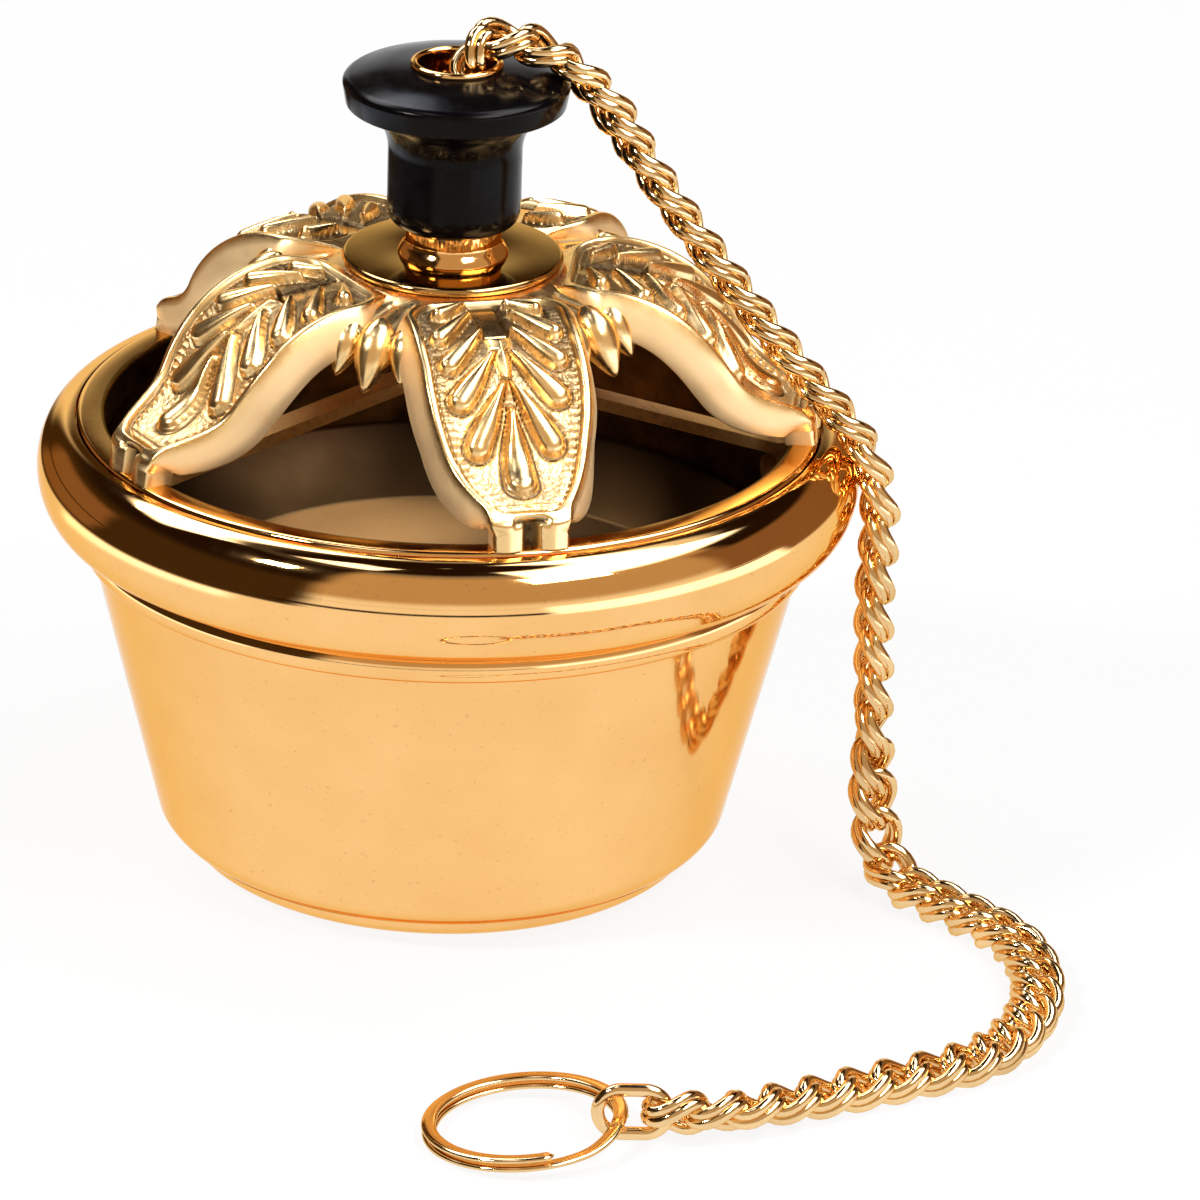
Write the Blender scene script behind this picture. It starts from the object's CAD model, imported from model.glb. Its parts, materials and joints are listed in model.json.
# Looks of the single-chain censer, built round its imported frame.
# Lengths are in millimetres and come from the frame where it gives them; meshes are written in metres.
import json
import math

import bpy
import numpy as np
from mathutils import Matrix, Vector
from numpy.linalg import norm

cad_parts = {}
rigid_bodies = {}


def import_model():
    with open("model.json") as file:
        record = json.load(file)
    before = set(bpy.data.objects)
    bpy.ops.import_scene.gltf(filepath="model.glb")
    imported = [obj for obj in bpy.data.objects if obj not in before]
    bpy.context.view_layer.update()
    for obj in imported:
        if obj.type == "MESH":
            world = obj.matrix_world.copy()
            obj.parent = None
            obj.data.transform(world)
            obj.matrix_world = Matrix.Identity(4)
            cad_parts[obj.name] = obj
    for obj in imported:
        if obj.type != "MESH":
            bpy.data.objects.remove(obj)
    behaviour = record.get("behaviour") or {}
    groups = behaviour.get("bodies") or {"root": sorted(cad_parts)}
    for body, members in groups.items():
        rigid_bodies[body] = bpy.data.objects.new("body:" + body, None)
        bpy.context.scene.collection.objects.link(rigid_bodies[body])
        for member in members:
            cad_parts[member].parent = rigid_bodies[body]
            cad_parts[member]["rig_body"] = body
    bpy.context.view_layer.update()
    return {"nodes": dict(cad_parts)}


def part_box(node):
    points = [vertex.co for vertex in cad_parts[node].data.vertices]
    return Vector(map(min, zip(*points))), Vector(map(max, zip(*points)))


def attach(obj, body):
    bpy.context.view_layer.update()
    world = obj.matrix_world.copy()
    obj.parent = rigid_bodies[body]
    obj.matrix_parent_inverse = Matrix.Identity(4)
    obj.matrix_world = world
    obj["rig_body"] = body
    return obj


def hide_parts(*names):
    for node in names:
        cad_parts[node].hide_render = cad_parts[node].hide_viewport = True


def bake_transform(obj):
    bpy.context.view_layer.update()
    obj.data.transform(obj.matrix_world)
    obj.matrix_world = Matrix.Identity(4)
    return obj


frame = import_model()

MM = 0.001
DEG = math.pi / 180
TURN = 2 * math.pi
Z = 2

# Camera, in the photograph's 1200 pixels
PHOTO_PIXELS = 1200
CAMERA_DISTANCE = 1600
CAMERA_ELEVATION = 21.86 * DEG
CAMERA_ROLL = 1.26 * DEG
CAMERA_TARGET_Z = 60
FOCAL_PIXELS = 10352
FRAME_SHIFT_X = 152.2
FRAME_SHIFT_Y = -113.5

# Wall thicknesses and small steps that the frame's boxes don't show
SEAT_GAP = 0.3
BEAD_HEIGHT = 4.7
BEAD_PROJECTION = 1.9
MOUTH_WALL = 1.8
BOWL_WALL = 1.8
BOWL_FLOOR = 2.2
BOWL_CORNER_RISE = 3.3
BOWL_CORNER_SPREAD = 3.8
FOOT_FLARE = 5.8
FOOT_FACE_WIDTH = 7.5
RIM_LIP = 0.7
RIM_SEAT_DEPTH = 1.7
COVER_RING_HEIGHT = 2
COVER_RING_WIDTH = 4.4
PAN_SLANT = 12.6
PAN_WALL = 1.2
FOOT_RECESS = 1.2
TUBE_LIP_HEIGHT = 0.7
TUBE_LIP_WIDTH = 0.7
TUBE_WALL = 0.5
KNOB_STEM_WALL = 3.6
KNOB_STEM_HEIGHT = 12
KNOB_BAND_HEIGHT = 4.1
KNOB_CROWN_RISE = 1.8
KNOB_FLARE_LIP = 1.2
TOUCHING = 0.05
TURNED_SIDES = 192
TURNED_FILLET = 0.3


def lowest(node):
    """Lowest corner of a node of the frame, in millimetres."""
    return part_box(node)[0] / MM


def highest(node):
    """Highest corner of a node of the frame, in millimetres."""
    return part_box(node)[1] / MM


# Sizes read off the frame: a corner's x is the piece's radius
foot_radius, _, foot_top_z = highest("foot_ring")
bowl_bottom_z = lowest("bowl_body").z
bead_radius = highest("bowl_body").x
rim_bottom_z = lowest("bowl_rim").z
rim_radius, _, rim_top_z = highest("bowl_rim")
cover_skirt_z = lowest("cover_ring").z
cover_ring_radius, _, cover_ring_top_z = highest("cover_ring")
pan_bottom_z = lowest("charcoal_pan").z
pan_radius, _, pan_top_z = highest("charcoal_pan")
eye_top_z = highest("chain_eye_bolt").z
flange_bottom_z = lowest("collar_flange").z
flange_radius, _, flange_top_z = highest("collar_flange")
neck_bottom_z = lowest("neck_ferrule").z
neck_foot_radius = highest("neck_ferrule").x
knob_bottom_z = lowest("knob").z
knob_radius, _, knob_top_z = highest("knob")
tube_bottom_z = lowest("knob_tube").z
tube_lip_radius, _, tube_top_z = highest("knob_tube")

# Sizes that follow from them
hub_top_z = flange_bottom_z - SEAT_GAP
wall_top_radius = bead_radius - BEAD_PROJECTION
mouth_radius = cover_ring_radius - RIM_LIP - MOUTH_WALL
neck_radius = mouth_radius + MOUTH_WALL
bead_top_z = rim_bottom_z - SEAT_GAP
wall_top_z = bead_top_z - BEAD_HEIGHT
bowl_corner_z = bowl_bottom_z + BOWL_CORNER_RISE
bowl_corner_radius = foot_radius + BOWL_CORNER_SPREAD
cover_seat_z = rim_top_z - RIM_SEAT_DEPTH
rim_seat_radius = neck_radius + SEAT_GAP + RIM_LIP
tube_radius = tube_lip_radius - TUBE_LIP_WIDTH
bore_radius = tube_radius - TUBE_WALL
stack_bore_radius = tube_radius + SEAT_GAP
stem_radius = stack_bore_radius + KNOB_STEM_WALL


# Camera
def place_camera():
    camera = bpy.data.objects.new("camera", bpy.data.cameras.new("camera"))
    bpy.context.scene.collection.objects.link(camera)
    camera.data.angle = 2 * math.atan(PHOTO_PIXELS / 2 / FOCAL_PIXELS)
    camera.data.shift_x = FRAME_SHIFT_X / PHOTO_PIXELS
    camera.data.shift_y = FRAME_SHIFT_Y / PHOTO_PIXELS
    forward = Vector((0, math.cos(CAMERA_ELEVATION), -math.sin(CAMERA_ELEVATION)))
    level = Vector((1, 0, 0))
    upright = level.cross(forward)
    right = level * math.cos(CAMERA_ROLL) + upright * math.sin(CAMERA_ROLL)
    up = upright * math.cos(CAMERA_ROLL) - level * math.sin(CAMERA_ROLL)
    place = Vector((0, 0, CAMERA_TARGET_Z * MM)) - forward * CAMERA_DISTANCE * MM
    camera.matrix_world = Matrix.Translation(place) @ Matrix((right, up, -forward)).transposed().to_4x4()
    bpy.context.scene.camera = camera


def make_piece(name, points, faces, material, sharp=40):
    """Mesh object from points in millimetres, smooth where its faces meet at less than sharp degrees."""
    mesh = bpy.data.meshes.new(name)
    mesh.from_pydata((np.asarray(points, float) * MM).tolist(), [], faces)
    mesh.polygons.foreach_set("use_smooth", [True] * len(mesh.polygons))
    mesh.set_sharp_from_angle(angle=sharp * DEG)
    mesh.materials.append(material)
    piece = bpy.data.objects.new(name, mesh)
    bpy.context.scene.collection.objects.link(piece)
    return piece


def paint_node(node, material):
    """Gives a node that keeps its own mesh the scene's material."""
    piece = frame["nodes"][node]
    piece.data.materials.clear()
    piece.data.materials.append(material)


def add_numbers(piece, name, values):
    """Stores one number for each point of the piece, for its material."""
    attribute = piece.data.attributes.new(name, "FLOAT", "POINT")
    attribute.data.foreach_set("value", np.asarray(values, np.float32))


def read_points(piece, name):
    """The place (co) or the normal of each point of the piece."""
    values = np.empty(3 * len(piece.data.vertices))
    piece.data.vertices.foreach_get(name, values)
    return values.reshape(-1, 3)


def mark_inside(piece):
    """Stores how far each point of a turned shell faces its axis, where smoke has darkened it."""
    places = read_points(piece, "co")
    normals = read_points(piece, "normal")
    radii = np.maximum(np.hypot(places[:, 0], places[:, 1]), 1e-6)
    outward = (places[:, 0] * normals[:, 0] + places[:, 1] * normals[:, 1]) / radii
    add_numbers(piece, "inside", smoothstep(0.1, -0.3, outward) * smoothstep(-0.6, -0.2, normals[:, 2]))


def smoothstep(low, high, value):
    """Eased from 0 at low to 1 at high; low may be the larger one."""
    t = np.clip((value - low) / (high - low), 0, 1)
    return t * t * (3 - 2 * t)


def hump(rise, full, fall, end, value):
    """One between a rise and a fall, nought outside them."""
    return smoothstep(rise, full, value) * (1 - smoothstep(fall, end, value))


def arc(centre_radius, centre_z, span_radius, span_z, start, end, steps):
    """Points of an ellipse arc in a profile, from one angle in degrees to another."""
    angles = np.linspace(start, end, steps + 1) * DEG
    return [(centre_radius + span_radius * math.cos(a), centre_z + span_z * math.sin(a), 0) for a in angles]


def rounded(profile, closed):
    """Profile with its corners rounded. A point may carry its own fillet as a third number."""
    count = len(profile)
    result = []
    for i, point in enumerate(profile):
        here = np.array(point[:2], float)
        size = point[2] if len(point) > 2 else TURNED_FILLET
        if size == 0 or (not closed and i in (0, count - 1)):
            result.append(here)
            continue
        before = np.array(profile[i - 1][:2], float) - here
        after = np.array(profile[(i + 1) % count][:2], float) - here
        cut = min(size, 0.45 * norm(before), 0.45 * norm(after))
        start = here + before / norm(before) * cut
        end = here + after / norm(after) * cut
        for t in np.linspace(0, 1, 6):
            result.append((1 - t) ** 2 * start + 2 * t * (1 - t) * here + t * t * end)
    return np.array(result)


def lathe(profile, closed, sides=TURNED_SIDES):
    """Points and faces of a turned piece about the Z axis, its profile going up the outside."""
    points, rings = [], []
    for radius, height in rounded(profile, closed):
        start = len(points)
        if radius < 1e-6:
            points.append((0, 0, height))
            rings.append([start] * sides)
            continue
        for k in range(sides):
            angle = TURN * k / sides
            points.append((radius * math.cos(angle), radius * math.sin(angle), height))
        rings.append(list(range(start, start + sides)))
    faces = []
    for i in range(len(rings) if closed else len(rings) - 1):
        low, high = rings[i], rings[(i + 1) % len(rings)]
        for k in range(sides):
            after = (k + 1) % sides
            corners = [low[k], low[after], high[after], high[k]]
            faces.append(list(dict.fromkeys(corners)))
    return points, faces


def turned(node, profile, material, closed=True):
    """Turned piece that stands for a node of the frame and rides on its body."""
    return stand_for(make_piece(node + "_fine", *lathe(profile, closed), material), node)


def stand_for(piece, node):
    """Makes the piece take a node's place and move with its body."""
    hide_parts(node)
    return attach(piece, body_of[node])


def loft(loops, ring_shaped):
    """Points and faces of a skin over loops of equal length, its ends closed unless it is a ring."""
    rows = len(loops)
    count = len(loops[0])
    points = np.concatenate(loops)
    faces = []
    for row in range(rows if ring_shaped else rows - 1):
        here = row * count
        after = (row + 1) % rows * count
        for i in range(count):
            j = (i + 1) % count
            faces.append([here + i, here + j, after + j, after + i])
    if not ring_shaped:
        faces.append(list(range(count))[::-1])
        faces.append(list(range((rows - 1) * count, rows * count)))
    return points, faces


def join(mesh, points, faces):
    """Adds points and faces to a mesh of the two lists."""
    start = len(mesh[0])
    mesh[0].extend(points)
    mesh[1].extend([start + corner for corner in face] for face in faces)


def wire_ring(centres, radius, sides, start_normal):
    """Points and faces of round wire along a closed path, its sections turned as little as possible."""
    centres = np.asarray(centres, float)
    tangents = np.roll(centres, -1, 0) - np.roll(centres, 1, 0)
    tangents /= norm(tangents, axis=1)[:, None]
    normal = np.array(start_normal, float)
    loops = []
    for centre, tangent in zip(centres, tangents):
        normal = normal - tangent * normal.dot(tangent)
        normal /= norm(normal)
        side = np.cross(tangent, normal)
        angles = TURN * np.arange(sides) / sides
        loops.append(centre + radius * (np.outer(np.cos(angles), normal) + np.outer(np.sin(angles), side)))
    return loft(loops, True)


body_of = {node: obj["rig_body"] for node, obj in frame["nodes"].items()}


# Materials
class Graph:
    """Short hand for the node tree of a new material or world."""

    def __init__(self, name, library="materials"):
        self.owner = getattr(bpy.data, library).new(name)
        self.owner.use_nodes = True
        self.tree = self.owner.node_tree
        self.shader = self.tree.nodes.get("Principled BSDF") or self.tree.nodes.get("Background")
        self.place = self.add("ShaderNodeTexCoord", "Object")

    def feed(self, socket, value):
        """Links a socket to an output, or sets it; a colour is three numbers."""
        if isinstance(value, bpy.types.NodeSocket):
            self.tree.links.new(value, socket)
        else:
            socket.default_value = (*value, 1) if isinstance(value, tuple) else value

    def paint(self, name, value):
        """Sets or links an input of the surface's own shader."""
        self.feed(self.shader.inputs[name], value)

    def add(self, kind, output, inputs=None, **settings):
        """Adds a node with its settings and inputs, and gives one of its outputs."""
        made = self.tree.nodes.new(kind)
        for name, value in settings.items():
            setattr(made, name, value)
        for name, value in (inputs or {}).items():
            self.feed(made.inputs[name], value)
        return made.outputs[output]

    def grain(self, feature_mm, detail=3, roughness=0.5, place=None):
        """Noise whose features are about that many millimetres wide."""
        return self.add("ShaderNodeTexNoise", "Fac", {
            "Vector": place or self.place, "Scale": 1 / (feature_mm * MM),
            "Detail": detail, "Roughness": roughness})

    def number(self, name):
        return self.add("ShaderNodeAttribute", "Fac", attribute_name=name)

    def ranged(self, value, low, high, to_low, to_high):
        """Carries a value from one range over to another."""
        return self.add("ShaderNodeMapRange", "Result", {
            "Value": value, "From Min": low, "From Max": high, "To Min": to_low, "To Max": to_high})

    def math(self, operation, first, second):
        return self.add("ShaderNodeMath", "Value", {0: first, 1: second}, operation=operation)

    def blend(self, factor, first, second):
        return self.add("ShaderNodeMix", "Result", {"Factor": factor, "A": first, "B": second},
                        data_type="RGBA")

    def bump(self, height, strength, depth_mm, **normal):
        """Relief; a call that says Normal=... lays it over another relief."""
        inputs = {"Height": height, "Strength": strength, "Distance": depth_mm * MM, **normal}
        return self.add("ShaderNodeBump", "Normal", inputs)

    def share(self, factor, first, second):
        """Makes the surface from two shaders; the factor is the second one's part."""
        mixed = self.add("ShaderNodeMixShader", "Shader", {"Fac": factor, 1: first, 2: second})
        self.feed(self.tree.nodes["Material Output"].inputs["Surface"], mixed)
        self.tree.nodes.remove(self.shader)

    def seen(self):
        """One for rays from the lens, metal and glass, nought for rays that only light the object."""
        path = self.tree.nodes.new("ShaderNodeLightPath")
        lens, metal, glass = (path.outputs[f"Is {ray} Ray"] for ray in ("Camera", "Glossy", "Transmission"))
        return self.math("MAXIMUM", self.math("MAXIMUM", lens, metal), glass)

    def turned_lines(self, pitch_mm):
        """Fine lines left by turning: they follow the height and the distance from the axis."""
        split = self.tree.nodes.new("ShaderNodeSeparateXYZ")
        self.feed(split.inputs["Vector"], self.place)
        x, y, z = split.outputs
        level = self.add("ShaderNodeCombineXYZ", "Vector", {"X": x, "Y": y})
        radius = self.add("ShaderNodeVectorMath", "Value", {0: level}, operation="LENGTH")
        line = self.add("ShaderNodeCombineXYZ", "Vector", {"X": self.math("ADD", z, radius)})
        return self.grain(pitch_mm, 2, 0.6, line)


# Colours of the metals
BRASS = (0.97, 0.57, 0.22)
WARM_BRASS = (0.88, 0.47, 0.16)
PALE_BRASS = (1.0, 0.7, 0.32)
COLLAR_BRASS = (0.6, 0.36, 0.14)
COLLAR_SHADE = (0.45, 0.24, 0.08)
STRAP_BRASS = (0.75, 0.42, 0.14)
STRAP_SHADE = (0.34, 0.17, 0.05)
CHAIN_BRASS = (0.92, 0.64, 0.32)
CHAIN_SHADE = (0.5, 0.29, 0.11)
SATIN_BRASS = (1.0, 0.72, 0.38)
EDGE_BRASS = (0.95, 0.72, 0.42)
TARNISH = (0.3, 0.15, 0.045)
SMOKED = (0.11, 0.055, 0.018)
SOOT = (0.03, 0.014, 0.005)
JET = (0.002, 0.0015, 0.002)
DUST = (0.02, 0.015, 0.012)
JET_GLINT = (1, 0.93, 0.8)


def polished_brass(name, roughness=0.07, lines=0.02, bright=BRASS, warm=WARM_BRASS):
    """Turned and polished brass; the number inside turns it into smoked metal."""
    g = Graph(name)
    g.paint("Metallic", 1)
    g.paint("Specular Tint", EDGE_BRASS)
    cloud = g.grain(14, 4)
    speck = g.grain(0.8, 2)
    inside = g.number("inside")
    colour = g.blend(g.ranged(cloud, 0.35, 0.75, 0, 0.55), bright, warm)
    colour = g.blend(g.ranged(speck, 0.66, 0.8, 0, 0.3), colour, TARNISH)
    smoked = g.blend(g.ranged(g.grain(6, 4), 0.35, 0.7, 0, 1), SMOKED, SOOT)
    g.paint("Base Color", g.blend(inside, colour, smoked))
    smear = g.ranged(g.grain(5, 5, 0.65), 0.3, 0.75, roughness * 0.7, roughness * 1.6)
    g.paint("Roughness", g.math("ADD", smear, g.math("MULTIPLY", inside, 0.3)))
    fine = g.bump(g.turned_lines(0.35), lines, 0.05)
    wavy = g.bump(g.grain(9, 1), 0.05, 0.12, Normal=fine)
    g.paint("Normal", wavy)
    return g.owner


def cast_brass(name):
    """Cast and buffed brass: recess darkens hollows, stipple roughens the ground, satin dulls the sides."""
    g = Graph(name)
    satin = g.number("satin")
    g.paint("Metallic", g.ranged(satin, 0, 1, 1, 0.7))
    g.paint("Specular Tint", EDGE_BRASS)
    recess = g.number("recess")
    stipple = g.number("stipple")
    colour = g.blend(g.ranged(g.grain(4, 4), 0.3, 0.8, 0, 0.5), PALE_BRASS, BRASS)
    stained = g.math("MULTIPLY", g.ranged(g.grain(0.7, 3), 0.4, 0.62, 0, 0.35), stipple)
    colour = g.blend(stained, colour, TARNISH)
    colour = g.blend(satin, colour, SATIN_BRASS)
    dark = g.math("MULTIPLY", recess, g.ranged(g.grain(1.2, 3), 0.3, 0.6, 0.88, 1))
    g.paint("Base Color", g.blend(dark, colour, SOOT))
    smooth = g.ranged(g.grain(2.5, 4), 0.3, 0.7, 0.2, 0.3)
    duller = g.math("MAXIMUM", recess, satin)
    g.paint("Roughness", g.math("ADD", smooth, g.math("MULTIPLY", duller, 0.25)))
    skin = g.bump(g.grain(0.6, 3), 0.18, 0.06)
    pits = g.math("MULTIPLY", g.grain(0.8, 2, 0.6), stipple)
    g.paint("Normal", g.bump(pits, 0.6, 0.45, Normal=skin))
    return g.owner


def inner_brass(name, bright=TARNISH, dull=SMOKED, roughness=0.4):
    """Brass inside the bowl: satin, darkened by smoke in soft patches."""
    g = Graph(name)
    g.paint("Metallic", g.ranged(g.number("inside"), 0, 1, 0.35, 0.9))
    g.paint("Specular IOR Level", 0.2)
    g.paint("Specular Tint", WARM_BRASS)
    patch = g.grain(16, 4, 0.55)
    colour = g.blend(g.ranged(patch, 0.35, 0.75, 0, 0.5), bright, dull)
    scale = g.ranged(g.grain(0.9, 4), 0.45, 0.75, 0, 0.4)
    colour = g.blend(scale, colour, dull)
    g.paint("Base Color", g.blend(g.number("inside"), colour, SOOT))
    g.paint("Roughness", g.ranged(patch, 0.3, 0.75, roughness * 0.85, roughness * 1.3))
    g.paint("Normal", g.bump(g.grain(0.7, 4), 0.15, 0.08))
    return g.owner


def black_knob(name):
    """Turned black knob, polished and a little dusty."""
    g = Graph(name)
    dusty = g.ranged(g.grain(2.2, 5, 0.7), 0.55, 0.85, 0, 0.35)
    g.paint("Base Color", g.blend(dusty, JET, DUST))
    g.paint("Specular IOR Level", 0.1)
    g.paint("Specular Tint", JET_GLINT)
    g.paint("Roughness", g.ranged(g.grain(4, 5, 0.65), 0.3, 0.75, 0.1, 0.26))
    g.paint("Normal", g.bump(g.turned_lines(0.3), 0.03, 0.03))
    return g.owner


# Chain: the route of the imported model, with links of doubled wire
LINK_WIRE_RADIUS = 1.1
LINK_LENGTH = 10.6
LINK_WIDTH = 8.4
LINK_TWIST = -45 * DEG
LINK_STEPS = 28
LINK_SIDES = 10
PAIR_WIRE_RADIUS = 0.95
PAIR_SPREAD = 0.8
LINK_BITE = 0.15
STRAND_GAP = 0.9
STRANDS = [("chain_inner", 6), ("chain_over_knob", 5), ("chain_hanging", 19), ("chain_on_table", 23)]
LOWEST_MOVING_LINK = 6
CHAIN_CLEARANCE = 2.9
CHAIN_LANDING_Y = -15.5
ROUTE_STEPS = 60
LOOP_TIGHTEST = -20
LOOP_LOOSEST = 60
LOOP_HALVINGS = 30
LINK_LIE = 0.305
RING_X = 13.4
RING_RADIUS = 15.3
RING_BAND = 2.2
RING_COIL_HEIGHT = 0.9
RING_PITCH = 1.35
RING_TILT = 5.6 * DEG
RING_TURNS = 1.8
RING_STEP_START = 1.7 * math.pi
RING_SECTIONS = 181
RING_SIDES = 16
END_LINK_WIRE_RADIUS = 1
END_LINK_INNER_RADIUS = 2.5
END_LINK_STRAIGHT = 3.4
EYE_WIRE_RADIUS = 1.1

ring_y = (lowest("finger_ring").y + highest("finger_ring").y) / 2
ring_wire_radius = RING_RADIUS - RING_BAND / 2
ring_low_z = (RING_PITCH + RING_COIL_HEIGHT) / 2 + RING_RADIUS * math.sin(RING_TILT)
end_link_x, end_link_y, end_link_z = ((a + b) / 2 for a, b in zip(lowest("end_link"), highest("end_link")))
chain_lie_z = LINK_WIDTH * LINK_LIE
eye_bearing_z = eye_top_z - 2 * EYE_WIRE_RADIUS - STRAND_GAP / 2
end_bearing_x = end_link_x + END_LINK_STRAIGHT / 2 + END_LINK_INNER_RADIUS - STRAND_GAP / 2


def mix(start, end, part):
    return start + (end - start) * part


def route_stops(looseness):
    """Stops of the chain's route: place, then the way that the links' flat side faces there."""
    hang_x = rim_radius + CHAIN_CLEARANCE

    def hanging(outward, y, downward, *facing):
        return (mix(knob_radius + CHAIN_CLEARANCE, hang_x, outward), y,
                mix(knob_top_z, rim_top_z, downward), *facing)

    def lying(outward, towards_ring, rise, *facing):
        return (outward, mix(CHAIN_LANDING_Y, end_link_y, towards_ring), chain_lie_z + rise, *facing)

    return np.array([
        (0, 0, eye_bearing_z, 1, 0, 0),
        (0, 0, eye_bearing_z + 16, 1, 0, 0),
        (0, 0, knob_top_z - 10, 1, 0, 0),
        (0.6, 0, knob_top_z - 2, 1, 0, 0),
        (tube_radius - 2.2, 0, tube_top_z + 3.5, 0, 0, 1),
        (knob_radius - 8, -0.1, tube_top_z + 3.2, 0, 0, 1),
        (knob_radius - 2.3, -0.4, knob_top_z + 2.2, 0, 0, 1),
        hanging(0.01, -0.8, 0.045, 0, 0.5, 1),
        hanging(0.26, -2.8, 0.33, 1, 0.3, 1),
        hanging(0.51, -5, 0.59, 1, 0.3, 1),
        hanging(0.77, -7.4, 0.84, 1, 0.3, 1),
        (hang_x - 3.4, -8.8, rim_top_z + 1.1, 1, 0.3, 1),
        (hang_x, -9.5, rim_top_z - 9, 1, 0.2, 0),
        (hang_x - 0.3, -9.8, rim_top_z - 24, 1, 0.2, 0),
        (hang_x + 0.2, -10.4, rim_top_z * 0.42, 1, 0.2, 0),
        (hang_x + 0.8, -11.4, chain_lie_z + 9.5, 1, -1, 0.5),
        lying(hang_x + 3, 0, 1, 0, 0, 1),
        lying(hang_x + 9.2, 0.08, 0, 0, 0, 1),
        lying(hang_x + 18.6 + looseness, 0.26, 0, 0, 0, 1),
        lying(hang_x + 21 + looseness, 0.49, 0, 0, 0, 1),
        lying(hang_x + 12.6 + looseness, 0.71, 0, 0, 0, 1),
        lying(end_bearing_x + 30.8, 0.84, 0, 0, 0, 1),
        lying(end_bearing_x + 15.8, 0.935, 0.6, 0.2, 0.4, 1),
        lying(end_bearing_x + 8.3, 0.98, 1.4, 0.2, 0.8, 1),
        (end_bearing_x, end_link_y, end_link_z, 0.1, 1, 1),
    ], float)


def route_curve(stops):
    """Points of a centripetal Catmull-Rom curve through the stops."""
    ends = [2 * stops[0] - stops[1], *stops, 2 * stops[-1] - stops[-2]]
    weights = np.arange(ROUTE_STEPS)[:, None] / ROUTE_STEPS
    points = []
    for p0, p1, p2, p3 in zip(ends, ends[1:], ends[2:], ends[3:]):
        d0, d1, d2 = (math.sqrt(norm(b - a)) for a, b in ((p0, p1), (p1, p2), (p2, p3)))
        t1 = ((p1 - p0) / d0 - (p2 - p0) / (d0 + d1) + (p2 - p1) / d1) * d1
        t2 = ((p2 - p1) / d1 - (p3 - p1) / (d1 + d2) + (p3 - p2) / d2) * d1
        square = -3 * p1 + 3 * p2 - 2 * t1 - t2
        cube = 2 * p1 - 2 * p2 + t1 + t2
        points.append(p1 + t1 * weights + square * weights ** 2 + cube * weights ** 3)
    return np.concatenate([*points, stops[-1:]])


def walk_route(looseness, chords):
    """Bearing points of the links and their facings, and the route left over after the last link."""
    stops = route_stops(looseness)
    places = route_curve(stops[:, :3])
    facings = stops[:, 3:]
    bearings = [(places[0], facings[0])]
    step = 1
    for i, chord in enumerate(chords):
        start = bearings[i][0]
        while step < len(places) and norm(places[step] - start) < chord:
            step += 1
        if step == len(places):
            return bearings, norm(places[-1] - start) - sum(chords[i:])
        near = norm(places[step - 1] - start)
        far = norm(places[step] - start)
        part = (chord - near) / (far - near)
        progress = (step - 1 + part) / ROUTE_STEPS
        stop = min(int(progress), len(stops) - 2)
        bearings.append((mix(places[step - 1], places[step], part),
                         mix(facings[stop], facings[stop + 1], progress - stop)))
    return bearings, norm(places[-1] - bearings[-1][0])


def bearing_points(chords):
    """The loop on the table is opened or drawn in until the last link just reaches the end link."""
    tight, loose = LOOP_TIGHTEST, LOOP_LOOSEST
    for _ in range(LOOP_HALVINGS):
        middle = (tight + loose) / 2
        if walk_route(middle, chords)[1] > 0:
            loose = middle
        else:
            tight = middle
    return walk_route(loose, chords)[0]


def chain_link(start, end, reach):
    """Points and faces of one link, two twisted ovals of wire side by side, between two bearing points."""
    along = end[0] - start[0]
    along /= norm(along)
    across = np.cross(start[1] + end[1], along)
    across /= norm(across)
    up = np.cross(along, across)
    middle = start[0] + along * reach
    angles = TURN * np.arange(LINK_STEPS) / LINK_STEPS
    twist = LINK_TWIST * np.cos(angles)
    lengthways = (LINK_LENGTH / 2 - PAIR_WIRE_RADIUS) * np.cos(angles)
    sideways = (LINK_WIDTH / 2 - PAIR_WIRE_RADIUS) * np.sin(angles)
    mesh = [], []
    for aside in (-PAIR_SPREAD, PAIR_SPREAD):
        wire = np.outer(lengthways, along)
        wire += np.outer(sideways * np.cos(twist) - aside * np.sin(twist), across)
        wire += np.outer(sideways * np.sin(twist) + aside * np.cos(twist), up)
        join(mesh, *wire_ring(middle + wire, PAIR_WIRE_RADIUS, LINK_SIDES, along))
    return mesh


def chain_strands(material):
    """The four strands: links bite into the next one, and keep a gap where one strand ends."""
    names = [name for name, count in STRANDS for _ in range(count)]
    reaches = []
    for i in range(len(names) + 1):
        if 0 < i < len(names) and names[i] == names[i - 1]:
            reaches.append(LINK_LENGTH / 2 - 2 * LINK_WIRE_RADIUS + LINK_BITE / 2)
        elif i == LOWEST_MOVING_LINK:
            reaches.append((LINK_LENGTH + STRAND_GAP) / 2)
        else:
            reaches.append(LINK_LENGTH / 2 - 2 * LINK_WIRE_RADIUS - STRAND_GAP / 2)
    bearings = bearing_points([a + b for a, b in zip(reaches, reaches[1:])])
    meshes = {name: ([], []) for name, _ in STRANDS}
    for i, name in enumerate(names):
        join(meshes[name], *chain_link(bearings[i], bearings[i + 1], reaches[i]))
    for name, mesh in meshes.items():
        strand = make_piece(name + "_fine", *mesh, material, 180)
        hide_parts(name)
        if name == "chain_hanging":
            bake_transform(strand)
        else:
            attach(strand, body_of[name])


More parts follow.
